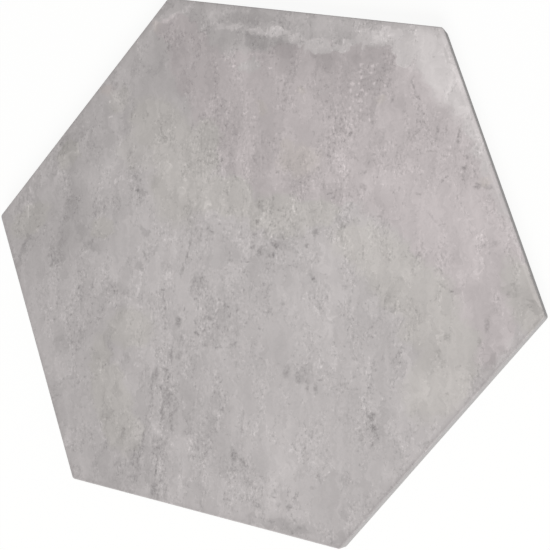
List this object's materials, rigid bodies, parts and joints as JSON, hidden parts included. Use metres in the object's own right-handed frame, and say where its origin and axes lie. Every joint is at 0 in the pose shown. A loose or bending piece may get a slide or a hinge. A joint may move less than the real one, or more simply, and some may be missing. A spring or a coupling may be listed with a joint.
{
  "type": "hexagon floor tile",
  "caption": "Flat hexagonal floor tile in matt glazed porcelain with a light concrete look, rounded edges and a keyed back for adhesive.",
  "frame": {"origin": "middle of the back, on the plane that the tile is bedded on", "axes": "+Z out of the glazed face, +X from the middle to one of the six corners, +Y to the middle of a side"},
  "size_m": [0.2926, 0.254, 0.01],
  "materials": {
    "glazed_porcelain": "matte"
  },
  "bodies": {
    "root": {"hexagon_tile": "glazed_porcelain"}
  },
  "joints": []
}
